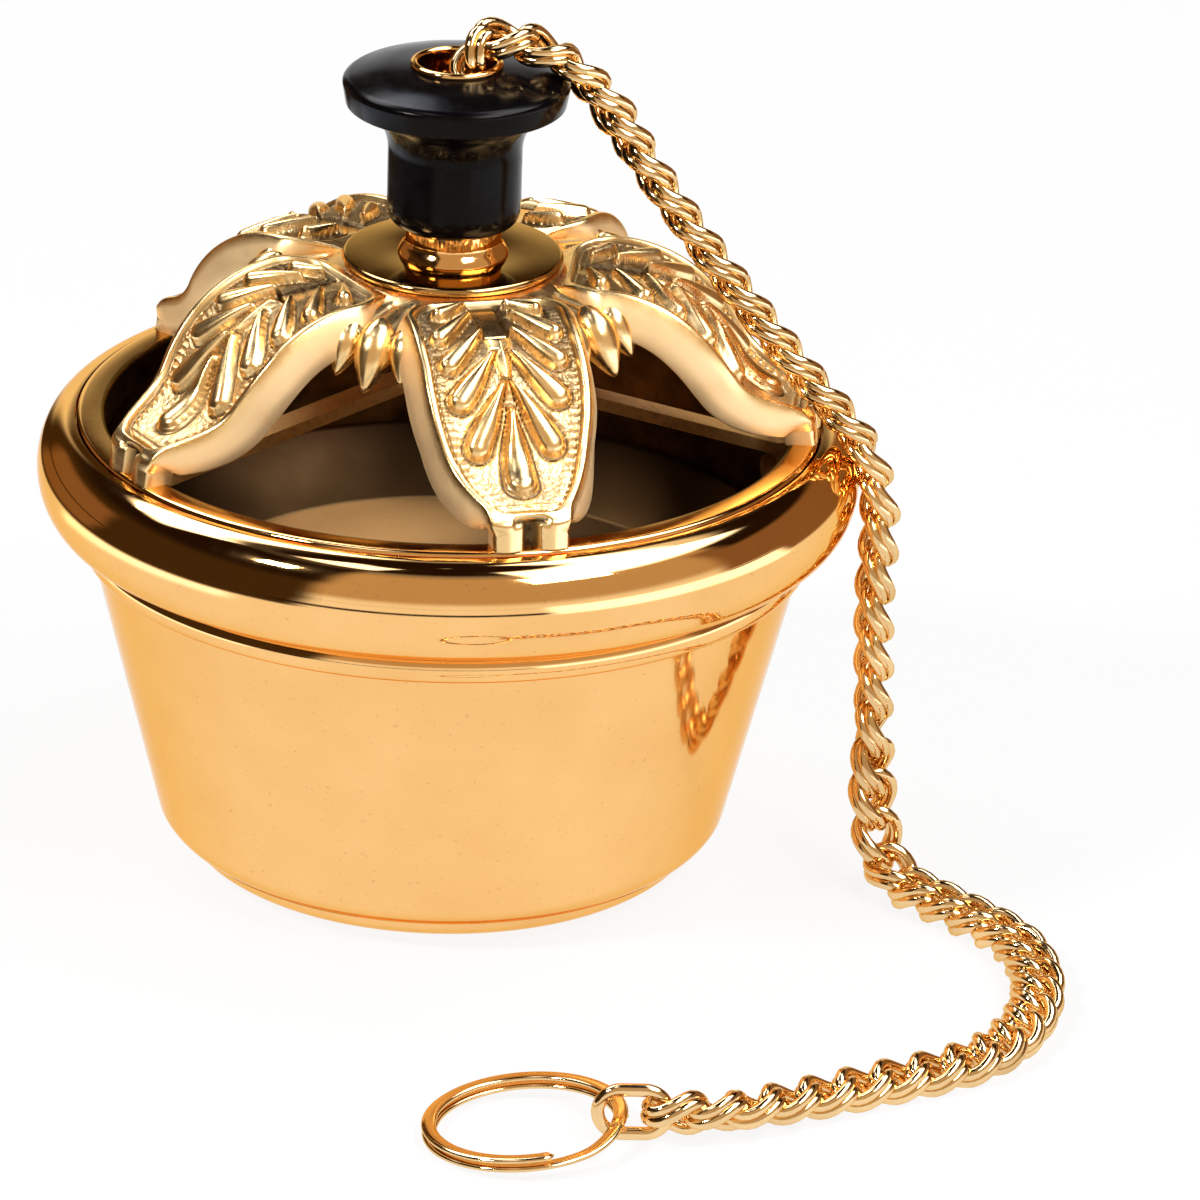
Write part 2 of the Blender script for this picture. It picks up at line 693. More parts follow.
def finger_ring(material):
    """Nearly two turns of flat wire that steps up once, with rounded edges and ends."""
    turns = RING_TURNS * TURN
    loops = []
    for angle in np.linspace(0, turns, RING_SECTIONS):
        lift = RING_PITCH * (smoothstep(RING_STEP_START, TURN, angle) - 0.5)
        closing = min(angle, turns - angle) * ring_wire_radius / (RING_BAND / 2)
        size = math.sqrt(1 - (1 - min(closing, 1)) ** 2) * 0.97 + 0.03
        section = []
        for turn in TURN * np.arange(RING_SIDES) / RING_SIDES:
            outward = math.copysign(abs(math.cos(turn)) ** 0.7, math.cos(turn)) * RING_BAND / 2 * size
            upward = math.copysign(abs(math.sin(turn)) ** 0.8, math.sin(turn)) * RING_COIL_HEIGHT / 2 * size
            reach = ring_wire_radius + outward
            section.append((reach * math.cos(angle), reach * math.sin(angle), lift + upward))
        loops.append(np.array(section[::-1]))
    points, faces = loft(loops, False)
    tilt = np.array(Matrix.Rotation(-RING_TILT, 3, "Y"))
    points = points @ tilt.T + (RING_X, ring_y, ring_low_z)
    piece = make_piece("finger_ring_fine", points, faces, material, 60)
    return stand_for(piece, "finger_ring")


def end_link(material):
    radius = END_LINK_INNER_RADIUS + END_LINK_WIRE_RADIUS
    path = []
    for end in (1, -1):
        for angle in np.linspace(-90, 90, 19) * DEG:
            path.append((end * (END_LINK_STRAIGHT / 2 + radius * math.cos(angle)), 0,
                         end * radius * math.sin(angle)))
    points, faces = wire_ring(path, END_LINK_WIRE_RADIUS, 16, (0, 1, 0))
    piece = make_piece("end_link_fine", points + (end_link_x, end_link_y, end_link_z), faces, material, 60)
    return stand_for(piece, "end_link")


# Turned pieces
def foot_ring(material):
    face_radius = foot_radius - FOOT_FLARE
    recess_radius = face_radius - FOOT_FACE_WIDTH
    return turned("foot_ring", [
        (0, FOOT_RECESS),
        (recess_radius - FOOT_RECESS, FOOT_RECESS),
        (recess_radius, 0),
        (face_radius, 0, 0.6),
        (face_radius + FOOT_FLARE * 0.5, foot_top_z * 0.25, 1.5),
        (face_radius + FOOT_FLARE * 0.85, foot_top_z * 0.65, 1.5),
        (foot_radius, foot_top_z, 0.1),
        (foot_radius - 0.3, bowl_bottom_z - TOUCHING, 0.1),
        (0, bowl_bottom_z - TOUCHING),
    ], material, closed=False)


def bowl_inner_radius(height):
    slope = (wall_top_radius - bowl_corner_radius) / (wall_top_z - bowl_corner_z)
    return bowl_corner_radius - BOWL_WALL + (height - bowl_corner_z) * slope


def bowl_body(material):
    inside_z = bowl_bottom_z + BOWL_FLOOR
    corner_z = inside_z + BOWL_CORNER_RISE * 0.7
    return turned("bowl_body", [
        (0, bowl_bottom_z),
        (foot_radius, bowl_bottom_z, 0.2),
        (foot_radius + BOWL_CORNER_SPREAD * 0.6, bowl_bottom_z + BOWL_CORNER_RISE * 0.4, 1.6),
        (bowl_corner_radius, bowl_corner_z, 1.6),
        (wall_top_radius, wall_top_z, 0.25),
        *arc(wall_top_radius, (wall_top_z + bead_top_z) / 2, BEAD_PROJECTION, BEAD_HEIGHT / 2, -86, 76, 16),
        (neck_radius, bead_top_z, 0.1),
        (neck_radius, cover_seat_z),
        (mouth_radius, cover_seat_z),
        (mouth_radius, bead_top_z, 1.5),
        (bowl_inner_radius(wall_top_z), wall_top_z, 1.5),
        (bowl_inner_radius(corner_z), corner_z, 1.5),
        (bowl_inner_radius(corner_z) - BOWL_CORNER_RISE, inside_z, 1.5),
        (0, inside_z),
    ], material, closed=False)


def bowl_rim(material):
    middle_z = (rim_bottom_z + rim_top_z) / 2
    inner_radius = neck_radius + SEAT_GAP
    return turned("bowl_rim", [
        (inner_radius, rim_bottom_z, 0.1),
        *arc(rim_seat_radius, middle_z, rim_radius - rim_seat_radius,
             (rim_top_z - rim_bottom_z) / 2, -90, 90, 64),
        (rim_seat_radius, cover_seat_z, 0.1),
        (inner_radius, cover_seat_z, 0.1),
    ], material)


def cover_ring(material):
    inner_radius = cover_ring_radius - COVER_RING_WIDTH
    shoulder_z = cover_ring_top_z - COVER_RING_HEIGHT
    skirt_radius = mouth_radius - SEAT_GAP
    return turned("cover_ring", [
        (inner_radius, cover_skirt_z, 0.2),
        (skirt_radius - 0.35, cover_skirt_z, 0.2),
        (skirt_radius, shoulder_z, 0.1),
        (cover_ring_radius, shoulder_z, 0.25),
        (cover_ring_radius, cover_ring_top_z, 0.9),
        (inner_radius, cover_ring_top_z, 0.9),
    ], material)


def smoke_pan(piece):
    """Smokes the pan's slanted wall, and its floor towards the right."""
    places = read_points(piece, "co") / MM
    floor_radius = pan_radius - PAN_SLANT
    wall = smoothstep(floor_radius - 0.6, floor_radius + 0.6, np.hypot(places[:, 0], places[:, 1]))
    right = smoothstep(-14, 24, places[:, 0])
    add_numbers(piece, "inside", np.maximum(wall, 0.85 * right))


def charcoal_pan(material):
    floor_z = pan_bottom_z + PAN_WALL
    floor_radius = pan_radius - PAN_SLANT
    return turned("charcoal_pan", [
        (0, pan_bottom_z),
        (floor_radius + PAN_WALL / 2, pan_bottom_z, 3),
        (pan_radius - PAN_WALL, pan_top_z - PAN_WALL * 1.8, 1),
        (pan_radius, pan_top_z - PAN_WALL, 0.3),
        (pan_radius, pan_top_z, 0.5),
        (pan_radius - PAN_WALL, pan_top_z, 0.5),
        (floor_radius, floor_z, 2),
        *[(floor_radius * part, floor_z, 0) for part in np.linspace(0.97, 0.05, 24)],
        (0, floor_z),
    ], material, closed=False)


def collar_flange(material):
    return turned("collar_flange", [
        (stack_bore_radius, flange_bottom_z),
        (flange_radius - 0.5, flange_bottom_z),
        (flange_radius, (flange_bottom_z + flange_top_z) / 2, 0.6),
        (flange_radius - 0.4, flange_top_z, 0.4),
        (stack_bore_radius, flange_top_z),
    ], material)


def neck_ferrule(material):
    flare = neck_foot_radius - stack_bore_radius - 0.7
    neck = neck_foot_radius - flare
    return turned("neck_ferrule", [
        (stack_bore_radius, flange_top_z - TOUCHING),
        (neck_foot_radius, flange_top_z - TOUCHING),
        (neck + flare * 0.6, neck_bottom_z + flare * 0.6, 0.6),
        (neck, neck_bottom_z + flare * 1.4, 0.8),
        (neck, knob_bottom_z + TOUCHING),
        (stack_bore_radius, knob_bottom_z + TOUCHING),
    ], material)


def knob(material):
    band_top_z = knob_top_z - KNOB_CROWN_RISE
    band_bottom_z = band_top_z - KNOB_BAND_HEIGHT
    stem_top_z = knob_bottom_z + KNOB_STEM_HEIGHT
    flare_width = knob_radius - stem_radius - KNOB_FLARE_LIP
    flare_height = band_bottom_z - 0.4 - stem_top_z
    return turned("knob", [
        (stack_bore_radius, knob_bottom_z),
        (stem_radius - 1.9, knob_bottom_z, 0.3),
        (stem_radius - 0.5, knob_bottom_z + 0.9, 1),
        (stem_radius, knob_bottom_z + 2.6, 1.6),
        *arc(stem_radius + flare_width, stem_top_z, flare_width, flare_height, 180, 92, 24),
        (knob_radius - 0.6, band_bottom_z, 0.25),
        (knob_radius, band_top_z - 0.6, 0.5),
        (knob_radius - 0.8, band_top_z + 0.1, 0.5),
        ((knob_radius + tube_lip_radius) / 2, band_top_z + 1.3, 3),
        (tube_lip_radius, knob_top_z, 0.2),
        (stack_bore_radius, knob_top_z, 0.2),
    ], material)


def knob_tube(material):
    lip_z = tube_top_z - TUBE_LIP_HEIGHT
    return turned("knob_tube", [
        (bore_radius, tube_bottom_z, 0.1),
        (tube_radius, tube_bottom_z, 0.1),
        (tube_radius, lip_z - SEAT_GAP, 0.05),
        (tube_lip_radius, lip_z - SEAT_GAP, 0.2),
        (tube_lip_radius, lip_z + 0.4, 0.3),
        (tube_radius, tube_top_z, 0.3),
        (bore_radius, tube_top_z - 0.4, 0.3),
    ], material)


# Cover casting
LEAF_COUNT = 5
FRONT_LEAF_ANGLE = -77 * DEG
HUB_RADIUS = 17
HUB_HEIGHT = 3.5
HUB_SKIRT = 12
HUB_SKIRT_DROP = 1.3
HUB_SKIRT_DEPTH = 2
LEAF_ROOT = 3.5
LEAF_SHOULDER = 2.5
LEAF_FOOT_INSET = 0.5
LEAF_CROWN_RISE = 0.8
LEAF_HALF_WIDTH = 14.6
LEAF_FOOT_HALF_WIDTH = 5.8
LEAF_NECK_HALF_WIDTH = 8
LEAF_SIDE_DEPTH = 6.4
LEAF_HUB_DEPTH = 2.6
LEAF_FOOT_DEPTH = 4.4
LEAF_PLATE = 2.4
LEAF_DRAFT = 1.9
LEAF_ROWS = 230
LEAF_COLUMNS = 117
LEAF_SATIN = 0.35
PENDANT_SIZES = {-1: 0.8, 0: 1, 1: 0.8}
PENDANT_PROFILE = [
    (0, -9), (0.7, -8.4), (1.6, -6.9), (2.6, -4.8), (3.1, -2.6), (3, -0.6), (2.2, 1.4), (1, 2.8), (0, 3.2),
]
PENDANT_FILLET = 0.8
PENDANT_SIDES = 24
PENDANT_SPREAD = 9.5 * DEG
PENDANT_SLOPE = 55 * DEG
PENDANT_INSET = 0.8
PENDANT_DROP = 1.4
HUB_SIDES = 480
FLUTE_DEPTH = 1.2

hub_bottom_z = hub_top_z - HUB_HEIGHT
hub_skirt_radius = HUB_RADIUS + HUB_SKIRT
hub_skirt_z = hub_top_z - HUB_SKIRT_DROP
leaf_start_radius = HUB_RADIUS - LEAF_ROOT
leaf_shoulder_radius = HUB_RADIUS + LEAF_SHOULDER
leaf_foot_radius = cover_ring_radius - LEAF_FOOT_INSET


def leaf_line():
    """Dense points of the leaf's top line in the plane of X and Z, from the hub out and down to the ring."""
    shoulder_z = hub_top_z + LEAF_CROWN_RISE
    reach = leaf_foot_radius - leaf_shoulder_radius
    drop = shoulder_z - cover_ring_top_z

    def at(outward, downward):
        return np.array((leaf_shoulder_radius + reach * outward, shoulder_z - drop * downward))

    def bezier(a, b, c, d):
        t = np.linspace(0, 1, 200)[:, None]
        return a * (1 - t) ** 3 + 3 * b * t * (1 - t) ** 2 + 3 * c * t * t * (1 - t) + d * t ** 3

    root = np.array((leaf_start_radius, hub_bottom_z + LEAF_HUB_DEPTH))
    return np.concatenate([
        np.linspace(root, at(0, 0), 40)[:-1],
        bezier(at(0, 0), at(0.28, -0.05), at(0.5, 0.1), at(0.67, 0.51))[:-1],
        bezier(at(0.67, 0.51), at(0.76, 0.72), at(0.93, 0.7), at(0.98, 0.84))[:-1],
        np.linspace(at(0.98, 0.84), at(1, 1.06), 40),
    ])


def leaf_half_width(fraction):
    wide = mix(LEAF_NECK_HALF_WIDTH, LEAF_HALF_WIDTH, smoothstep(0.04, 0.2, fraction))
    return mix(wide, LEAF_FOOT_HALF_WIDTH, np.clip((fraction - 0.45) / 0.48, 0, 1) ** 2.2)


def leaf_depth(fraction):
    opened = mix(LEAF_HUB_DEPTH, LEAF_SIDE_DEPTH, smoothstep(0.1, 0.3, fraction))
    return mix(opened, LEAF_FOOT_DEPTH, smoothstep(0.6, 0.9, fraction))


# Lobes of the leaf's ornament: base and tip as (across, along) from the leaf's start, and half width
LOBES = [
    ((0, 31), (0, 45.6), 2.7),
    ((0.6, 26.8), (6.7, 38.9), 2.2),
    ((1.2, 21.2), (8.8, 31.2), 2.2),
    ((2, 16.4), (9.7, 24.5), 2),
    ((2.9, 11.6), (10.1, 18.5), 1.8),
    ((2.9, 7.8), (8.7, 10.9), 1.5),
]
FACE_START = 5
FACE_END = 49.5
CORNER_CLOSENESS = 1.1
BORDER_WIDTH = 1.15
BORDER_SLOPE = 0.6
EDGE_WIDTH = 0.5
EDGE_DEPTH = 0.4
GROUND_DEPTH = 1.1
NOTCH_PITCH = 1.25
NOTCH_HEIGHT = 0.36
TRUNK_START = 17.6
TRUNK_END = 29.5
TRUNK_HEIGHT = 1.15
LOBE_STEP_HEIGHT = 0.45
LOBE_BOSS_HEIGHT = 1.3
SHADED_UNTIL = (14, 38)
HOLLOW_DEPTH = 0.9
FOOT_START = 50.2
SLOT_HALF_WIDTH = 1.1
SLOT_DEPTH = 1.5
ARCH_ALONG = 50.6
ARCH_DEPTH = 0.8


def lobe_form(across, along, base, tip, half_width):
    """Signed depth inside a drop-shaped lobe, in parts of its half width: 1 on its spine, 0 on its edge."""
    base, tip = np.array(base), np.array(tip)
    length = norm(tip - base)
    direction = (tip - base) / length
    forward = (across - base[0]) * direction[0] + (along - base[1]) * direction[1]
    aside = (across - base[0]) * -direction[1] + (along - base[1]) * direction[0]
    part = np.clip(forward / length, 0, 1)
    bulge = 0.22 + 0.78 * np.sin(math.pi / 2 * np.clip(part / 0.8, 0, 1)) ** 1.3
    tip_start = length - half_width
    bend = np.hypot(aside, np.maximum(forward - tip_start, 0))
    inside = 1 - bend / (half_width * bulge)
    return np.minimum(inside, (forward + 0.4) / half_width * 1.4)


def line_at(value, place, width):
    """A soft line where a value passes a place."""
    return np.exp(-((value - place) / width) ** 2)


def depth_inside(aside, along, half_width):
    """Distance in from the sides, start and foot of the leaf's face, blended softly at its corners."""
    borders = (half_width - aside, along - FACE_START + BORDER_WIDTH, FACE_END + BORDER_WIDTH - along)
    return -np.log(sum(np.exp(-CORNER_CLOSENESS * border) for border in borders)) / CORNER_CLOSENESS


def carve_ground(aside, along, half_width):
    """Raised border round a sunk and stippled ground, with notches along it."""
    face = depth_inside(aside, along, half_width)
    height = -GROUND_DEPTH * smoothstep(BORDER_WIDTH, BORDER_WIDTH + BORDER_SLOPE, face)
    height -= EDGE_DEPTH * np.clip(1 - (half_width - aside) / EDGE_WIDTH, 0, 1) ** 2
    dark = 0.85 * line_at(face, BORDER_WIDTH + 0.45, 0.22)
    stipple = smoothstep(BORDER_WIDTH + 0.5, BORDER_WIDTH + 1, face)
    notched = hump(BORDER_WIDTH + BORDER_SLOPE, BORDER_WIDTH + 0.9,
                   BORDER_WIDTH + 1.9, BORDER_WIDTH + 2.6, face)
    height += NOTCH_HEIGHT * notched * np.cos(TURN * along / NOTCH_PITCH)
    return height, dark, stipple


def raise_trunk(aside, along, height, dark, stipple):
    """Ridge between the lobes that narrows towards the foot."""
    trunk_width = mix(2.1, 0.6, np.clip((along - 18) / 10.5, 0, 1))
    trunk = 1 - aside / trunk_width
    trunk = np.minimum(trunk, np.minimum(along - TRUNK_START, TRUNK_END - along) * 0.6)
    height = np.maximum(height, -GROUND_DEPTH + TRUNK_HEIGHT * np.clip(trunk, 0, 1) ** 0.5)
    dark = np.maximum(dark, 0.7 * line_at(trunk, -0.1, 0.1))
    stipple = stipple * (1 - smoothstep(-0.1, 0.1, trunk))
    return height, dark, stipple


def raise_lobe(form, height, dark, stipple):
    """A boss on a low step, with a dark line round the step and a thin one round the boss."""
    step = smoothstep(0, 0.12, form)
    boss = np.clip((form - 0.2) / 0.8, 0, 1)
    raised = -GROUND_DEPTH + LOBE_STEP_HEIGHT * step + LOBE_BOSS_HEIGHT * np.sqrt(boss * (2 - boss))
    inside = form > 0
    height = np.where(inside & (raised > height - 0.8), np.maximum(raised, -GROUND_DEPTH), height)
    height -= 0.3 * line_at(form, -0.08, 0.09)
    dark = np.where(inside, 0, dark)
    dark = np.maximum(dark, line_at(form, -0.05, 0.08))
    dark = np.maximum(dark, 0.3 * line_at(form, 0.19, 0.05))
    stipple = stipple * (1 - smoothstep(-0.1, 0.05, form))
    return height, dark, stipple


def sink_hollow(aside, along, height, dark):
    """Dark hollow where the two upper rows of lobes part."""
    hollow = smoothstep(2.5, 1.5, aside) * smoothstep(5.2, 6.6, along) * (1 - smoothstep(16.4, 18.6, along))
    return height - HOLLOW_DEPTH * hollow, np.maximum(dark, smoothstep(0, 0.5, hollow))


def shape_foot(aside, along, half_width, height, dark):
    """Two rounded toes with a slot between them, under an arch."""
    footing = smoothstep(FOOT_START, FOOT_START + 1.4, along)
    slot = np.exp(-(aside / SLOT_HALF_WIDTH) ** 4)
    toes = 0.5 * np.sin(math.pi * np.clip((aside - 1.2) / (half_width - 1.2), 0, 1)) - SLOT_DEPTH * slot
    height = height + footing * toes
    arch = np.exp(-((along - ARCH_ALONG - 0.06 * aside ** 2) / 0.55) ** 2) * smoothstep(3.2, 1.8, aside)
    height = height - ARCH_DEPTH * arch
    return height, np.maximum(dark, np.maximum(footing * slot, arch))


def leaf_relief(across, along, half_width):
    """Height of the leaf's top at each point, with how dark and how stippled it is there."""
    aside = np.abs(across)
    height, dark, stipple = carve_ground(aside, along, half_width)
    height, dark, stipple = raise_trunk(aside, along, height, dark, stipple)
    for base, tip, size in LOBES:
        form = lobe_form(aside, along, base, tip, size)
        height, dark, stipple = raise_lobe(form, height, dark, stipple)
    dark = np.maximum(dark, 0.9 * stipple * (1 - smoothstep(*SHADED_UNTIL, along)))
    height, dark = sink_hollow(aside, along, height, dark)
    height, dark = shape_foot(aside, along, half_width, height, dark)
    return height, np.clip(dark, 0, 1), np.clip(stipple, 0, 1)


def leaf_underside(width, face_width, depth, plate):
    """Section of the leaf's sides and hollow underside, from the face's one edge round to the other."""
    half = [
        (0.3, -plate),
        (0.66, -plate),
        (0.8, -depth + 0.3),
        (0.83, -depth),
        (0.985, -depth),
        (1, -depth + 0.3),
        (0.7 + 0.3 * face_width / width, -depth * 0.6),
        (0.4 + 0.6 * face_width / width, -depth * 0.3),
    ]
    return np.array([(-across, height) for across, height in reversed(half)] + half)


def leaf_mesh():
    """One leaf along +X, and the numbers that its material reads at each point."""
    line = leaf_line()
    lengths = np.concatenate([[0], np.cumsum(norm(np.diff(line, axis=0), axis=1))])
    total = lengths[-1]

    def on_line(along):
        along = min(max(along, 0), total)
        return np.array([np.interp(along, lengths, line[:, i]) for i in (0, 1)])

    across_parts = np.linspace(1, -1, LEAF_COLUMNS)
    loops, dark, stipple, satin = [], [], [], []
    for row in range(LEAF_ROWS + 1):
        along = total * row / LEAF_ROWS
        centre = on_line(along)
        tangent = on_line(along + 0.3) - on_line(along - 0.3)
        tangent /= norm(tangent)
        up = np.array((-tangent[1], tangent[0]))
        fraction = along / total
        width = leaf_half_width(fraction)
        depth = leaf_depth(fraction)
        opening = hump(0.12, 0.2, 0.84, 0.92, fraction)
        plate = min(depth, mix(depth, LEAF_PLATE, opening))
        face_width = width - LEAF_DRAFT * hump(0.08, 0.2, 0.84, 0.94, fraction)
        top = across_parts * face_width
        height, darkness, roughening = leaf_relief(top, along, face_width)
        sides = leaf_underside(width, face_width, depth, plate)
        offsets = np.concatenate([top, sides[:, 0] * width])
        heights = np.concatenate([height, sides[:, 1]])
        loop = np.stack([centre[0] + up[0] * heights, offsets, centre[1] + up[1] * heights], 1)
        loop[:, Z] = np.maximum(loop[:, Z], cover_ring_top_z - 2 * TOUCHING)
        loops.append(loop)
        below = np.zeros(len(sides))
        dark.append(np.concatenate([darkness, below]))
        stipple.append(np.concatenate([roughening, below]))
        satin.append(np.concatenate([LEAF_SATIN * roughening, below + 1]))
    points, faces = loft(loops, False)
    numbers = {"recess": dark, "stipple": stipple, "satin": satin}
    return points, faces, {name: np.concatenate(rows) for name, rows in numbers.items()}


def pendant_points(size, turn):
    """Points and faces of one pointed petal that hangs from the hub's skirt."""
    profile = [(radius * size, height * size, PENDANT_FILLET) for radius, height in PENDANT_PROFILE]
    points, faces = lathe(profile, False, PENDANT_SIDES)
    tilt = Matrix.Rotation(-(math.pi / 2 - PENDANT_SLOPE), 3, "Y")
    place = Vector((hub_skirt_radius - PENDANT_INSET, 0, hub_skirt_z - PENDANT_DROP))
    swing = Matrix.Rotation(turn, 3, "Z")
    return [swing @ (tilt @ Vector(p) + place) for p in points], faces


def flute_skirt(points):
    """Flutes the hub's skirt in fans between the leaves; returns the points and how dark each is."""
    points = np.array(points, float)
    radii = np.hypot(points[:, 0], points[:, 1])
    angles = np.arctan2(points[:, 1], points[:, 0]) - FRONT_LEAF_ANGLE - math.pi / LEAF_COUNT
    nearest = np.round(angles / (TURN / LEAF_COUNT)) * TURN / LEAF_COUNT
    away = (angles - nearest) / PENDANT_SPREAD
    fluted = smoothstep(leaf_shoulder_radius - 1, leaf_shoulder_radius + 2, radii)
    fluted = fluted * smoothstep(2.3, 1.7, np.abs(away))
    top = points[:, Z] > hub_skirt_z - HUB_SKIRT_DEPTH * 0.7
    groove = fluted * top * np.abs(np.sin(math.pi * (away + 0.5))) ** 0.5
    groove = fluted * top - groove
    points[:, Z] -= FLUTE_DEPTH * groove
    return points, np.clip(1.3 * groove, 0, 1)


def cover_hub(material):
    points, faces = lathe([
        (stack_bore_radius, hub_bottom_z),
        (HUB_RADIUS * 0.8, hub_bottom_z, 1),
        (hub_skirt_radius, hub_skirt_z - HUB_SKIRT_DEPTH, 0.6),
        (hub_skirt_radius + 0.6, hub_skirt_z, 0.6),
        (leaf_shoulder_radius, hub_top_z - HUB_SKIRT_DROP / 2, 1),
        (flange_radius - 0.6, flange_bottom_z - TOUCHING),
        (stack_bore_radius, flange_bottom_z - TOUCHING),
    ], True, HUB_SIDES)
    points, dark = flute_skirt(points)
    hub = make_piece("cover_hub", points, faces, material)
    add_numbers(hub, "recess", dark)
    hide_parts("cover_leaves")
    return hub


def cover_casting(material):
    """Five leaves with three petals after each, and the hub that joins them."""
    points, faces, numbers = leaf_mesh()
    pieces = []
    for i in range(LEAF_COUNT):
        angle = FRONT_LEAF_ANGLE + i * TURN / LEAF_COUNT
        turn = np.array(Matrix.Rotation(angle, 3, "Z"))
        leaf = make_piece(f"cover_leaf_{i + 1}", points @ turn.T, faces, material, 60)
        for name, values in numbers.items():
            add_numbers(leaf, name, values)
        pieces.append(leaf)
        for side, size in PENDANT_SIZES.items():
            turn = angle + math.pi / LEAF_COUNT + side * PENDANT_SPREAD
            pieces.append(make_piece(f"pendant_{i + 1}_{side + 2}", *pendant_points(size, turn), material))
    pieces.append(cover_hub(material))
    for piece in pieces:
        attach(piece, "cover")


# Stage: pale floor, white surround, lamps, and cards that only show in reflections
FLOOR_RADIUS = 6000
FLOOR_SIDES = 64
FLOOR_DROP = 0.02
FLOOR_GREY = (0.86, 0.86, 0.86)
FLOOR_PALE = (0.9, 0.9, 0.9)
FLOOR_WHITENESS = 0.88
SURROUND_LIGHT = 0.22
LAMP_DISTANCE = 1400
FARTHEST_CARD = 2600
CARD_COLUMNS = 60
CARD_ROWS = 40


def pale_floor():
    """Floor that rays to the lens and the metal see as nearly white, with the object's shadow."""
    g = Graph("pale_floor")
    colour = g.blend(g.grain(30, 2), FLOOR_GREY, FLOOR_PALE)
    diffuse = g.add("ShaderNodeBsdfDiffuse", "BSDF", {"Color": colour})
    glow = g.add("ShaderNodeEmission", "Emission")
    g.share(g.math("MULTIPLY", g.seen(), FLOOR_WHITENESS), diffuse, glow)
    points, faces = lathe([(0, 0), (FLOOR_RADIUS, 0)], False, FLOOR_SIDES)
    floor = make_piece("floor", [(x, y, z - FLOOR_DROP) for x, y, z in points], faces, g.owner)


def white_world():
    """Surround that is white to the lens and in the metal, and lights the object only a little."""
    g = Graph("surround", "worlds")
    bpy.context.scene.world = g.owner
    g.paint("Strength", g.ranged(g.seen(), 0, 1, SURROUND_LIGHT, 1))
    g.paint("Color", (1, 1, 1))


def direction(azimuth, elevation):
    """Unit vector at an azimuth from +X towards +Y and an elevation, in degrees."""
    a, e = azimuth * DEG, elevation * DEG
    return Vector((math.cos(a) * math.cos(e), math.sin(a) * math.cos(e), math.sin(e)))


def card_material(name, colour, strength):
    """Glow that the number cover shows fully or in part."""
    g = Graph(name)
    glow = g.add("ShaderNodeEmission", "Emission", {"Color": colour, "Strength": strength})
    clear = g.add("ShaderNodeBsdfTransparent", "BSDF")
    g.share(g.number("cover"), clear, glow)
    return g.owner


def add_card(name, azimuths, elevations, distance, colour, strength, fades):
    """Part of a sphere round the object that only shows in reflections, fading at sides, foot and top.

    Below the horizon it lies on the floor. A nearer card lies over a farther one.
    """
    centre = Vector((0, 0, CAMERA_TARGET_Z))
    lift = (FARTHEST_CARD - distance) * MM
    side_fade, foot_fade, top_fade = fades
    points, cover = [], []
    for elevation in np.linspace(*elevations, CARD_ROWS + 1):
        for azimuth in np.linspace(*azimuths, CARD_COLUMNS + 1):
            towards = direction(azimuth, elevation)
            reach = min(distance, (centre.z - lift) / max(-towards.z, 1e-9))
            points.append(centre + towards * reach)
            faded = smoothstep(0, foot_fade, elevation - elevations[0])
            faded *= smoothstep(0, top_fade, elevations[1] - elevation)
            if azimuths[1] - azimuths[0] < 360:
                faded *= smoothstep(0, side_fade, azimuth - azimuths[0])
                faded *= smoothstep(0, side_fade, azimuths[1] - azimuth)
            cover.append(faded)
    faces = []
    for row in range(CARD_ROWS):
        for column in range(CARD_COLUMNS):
            corner = row * (CARD_COLUMNS + 1) + column
            above = corner + CARD_COLUMNS + 1
            faces.append([corner, corner + 1, above + 1, above])
    card = make_piece(name, points, faces, card_material(name, colour, strength))
    add_numbers(card, "cover", cover)
    card.visible_camera = False
    card.visible_diffuse = False
    card.visible_shadow = False


def add_lamp(name, azimuth, elevation, width, height, radiance):
    """Area lamp that faces the object and has a given brightness when it is seen in a reflection."""
    data = bpy.data.lights.new(name, "AREA")
    data.shape = "RECTANGLE"
    data.size = width * MM
    data.size_y = height * MM
    data.energy = radiance * math.pi * width * height * MM * MM
    lamp = bpy.data.objects.new(name, data)
    bpy.context.scene.collection.objects.link(lamp)
    towards = direction(azimuth, elevation)
    lamp.location = (towards * LAMP_DISTANCE + Vector((0, 0, CAMERA_TARGET_Z))) * MM
    lamp.rotation_mode = "QUATERNION"
    lamp.rotation_quaternion = towards.to_track_quat("Z", "Y")


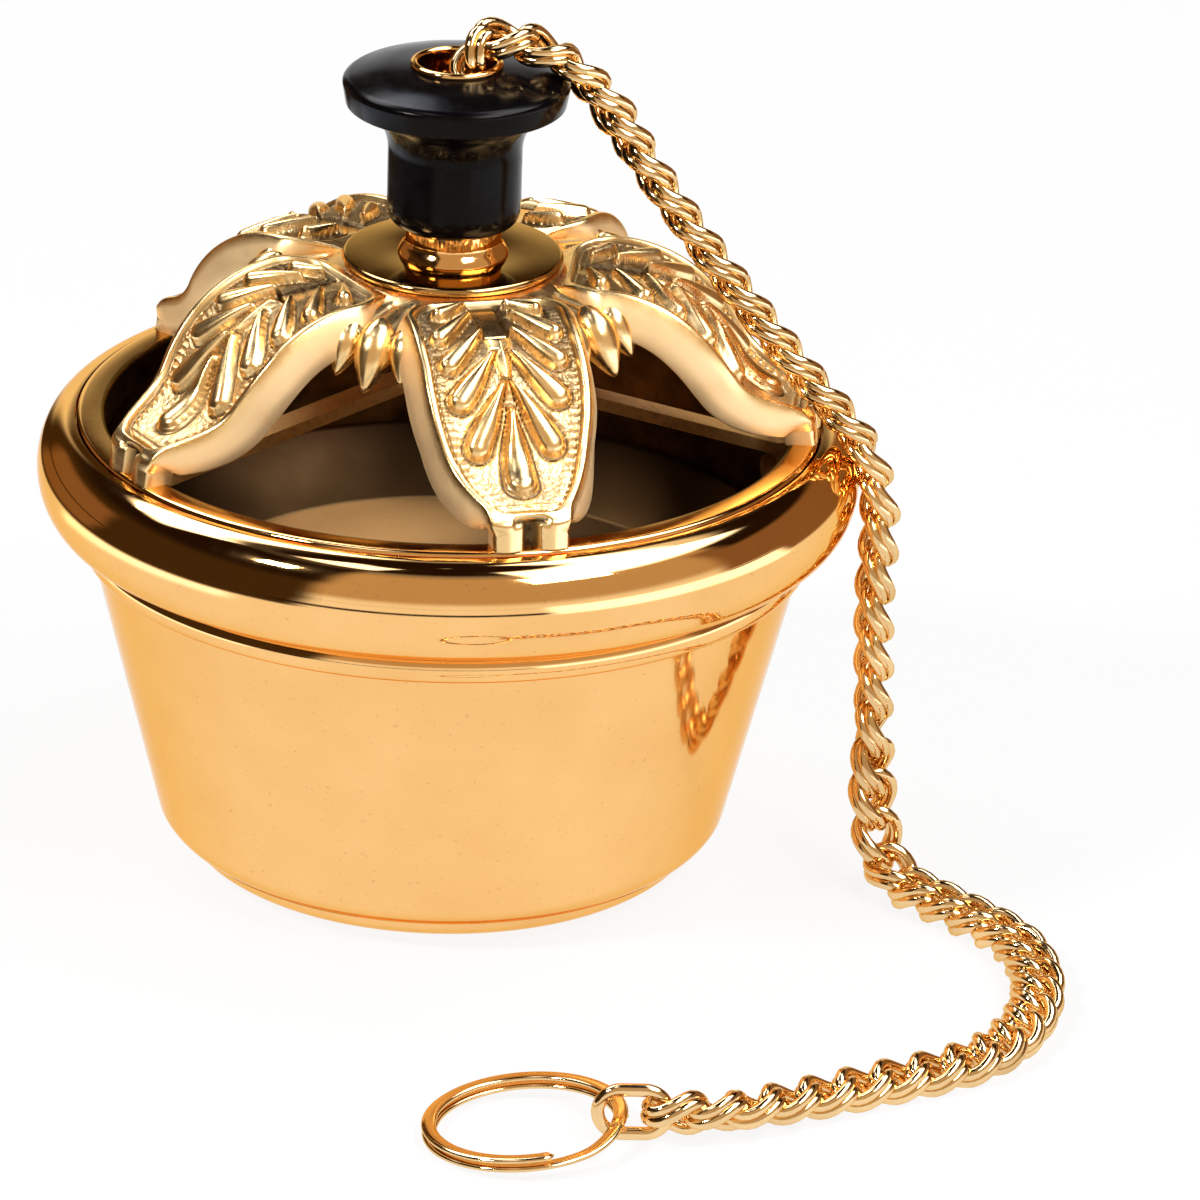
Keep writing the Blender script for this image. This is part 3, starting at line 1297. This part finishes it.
def studio():
    """Surroundings read from the rim's reflections: azimuths and elevations in degrees."""
    pale_floor()
    white_world()
    black = (0.016, 0.007, 0.002)
    umber = (0.055, 0.032, 0.012)
    brown = (0.25, 0.14, 0.07)
    tan = (0.56, 0.42, 0.27)
    white = (1, 1.08, 1.3)
    add_card("card_front", (-150, 25), (1, 68), 2600, tan, 1, (20, 9, 12))
    add_card("card_ceiling", (0, 360), (52, 90), 2570, black, 1, (1, 16, 1))
    add_card("card_left", (108, 238), (-13.5, 42), 2540, umber, 1, (8, 0.8, 14))
    add_card("card_left_high", (92, 240), (20, 70), 2520, black, 1, (9, 12, 10))
    add_card("card_left_patch", (122, 168), (-12, 22), 2500, brown, 1, (7, 2, 8))
    add_card("card_back", (66, 114), (16, 62), 2480, umber, 1, (8, 8, 8))
    add_card("card_right", (-14, 74), (-9, 42), 2460, brown, 1, (7, 1.5, 8))
    add_card("card_right_high", (-4, 78), (26, 54), 2440, black, 1, (9, 6, 6))
    add_card("card_line", (-140, -48), (-10.5, -7.5), 2420, black, 1, (14, 1, 1))
    add_card("glow_right", (-62, 34), (42, 76), 2400, white, 4, (7, 6, 6))
    add_card("glow_left", (93, 166), (39, 62), 2400, white, 4, (7, 6, 6))
    add_card("glow_back", (24, 72), (56, 78), 2380, white, 4, (6, 5, 6))
    add_card("glow_high_left", (176, 236), (66, 80), 2380, white, 3, (6, 4, 4))
    add_card("glow_horizon", (-66, 12), (-11.4, 0), 2380, white, 2.2, (6, 2, 3))
    add_card("glow_left_floor", (148, 220), (-20, -13.6), 2380, white, 1.8, (8, 4, 0.3))
    add_lamp("lamp_right", -5, 60, 900, 600, 4)
    add_lamp("lamp_front", -50, 46, 480, 300, 14)
    add_lamp("lamp_left", 128, 50, 800, 400, 4)
    add_lamp("lamp_spot", -146, 44, 200, 160, 110)


place_camera()
chain_brass = polished_brass("chain_brass", 0.1, 0, CHAIN_BRASS, CHAIN_SHADE)
chain_strands(chain_brass)
finger_ring(chain_brass)
end_link(chain_brass)

bright = polished_brass("bright_brass")
foot_ring(bright)
mark_inside(bowl_body(bright))
bowl_rim(polished_brass("rim_brass", 0.05, 0.01))
mark_inside(cover_ring(bright))
collar_flange(polished_brass("flange_brass", 0.09, 0.02, COLLAR_BRASS, COLLAR_SHADE))
neck_ferrule(bright)
knob_tube(bright)
knob(black_knob("polished_black"))
smoke_pan(charcoal_pan(inner_brass("pan_brass", BRASS, WARM_BRASS, 0.45)))
paint_node("bail_strap", inner_brass("strap_brass", STRAP_BRASS, STRAP_SHADE, 0.5))
dull = inner_brass("smoked_brass")
for node in ("bail_rivet_right", "bail_rivet_left", "chain_eye_bolt", "chain_eye_nut",
             "tube_washer", "tube_nut"):
    paint_node(node, dull)
cover_casting(cast_brass("leaf_brass"))
studio()

bpy.context.scene.view_settings.view_transform = "Standard"
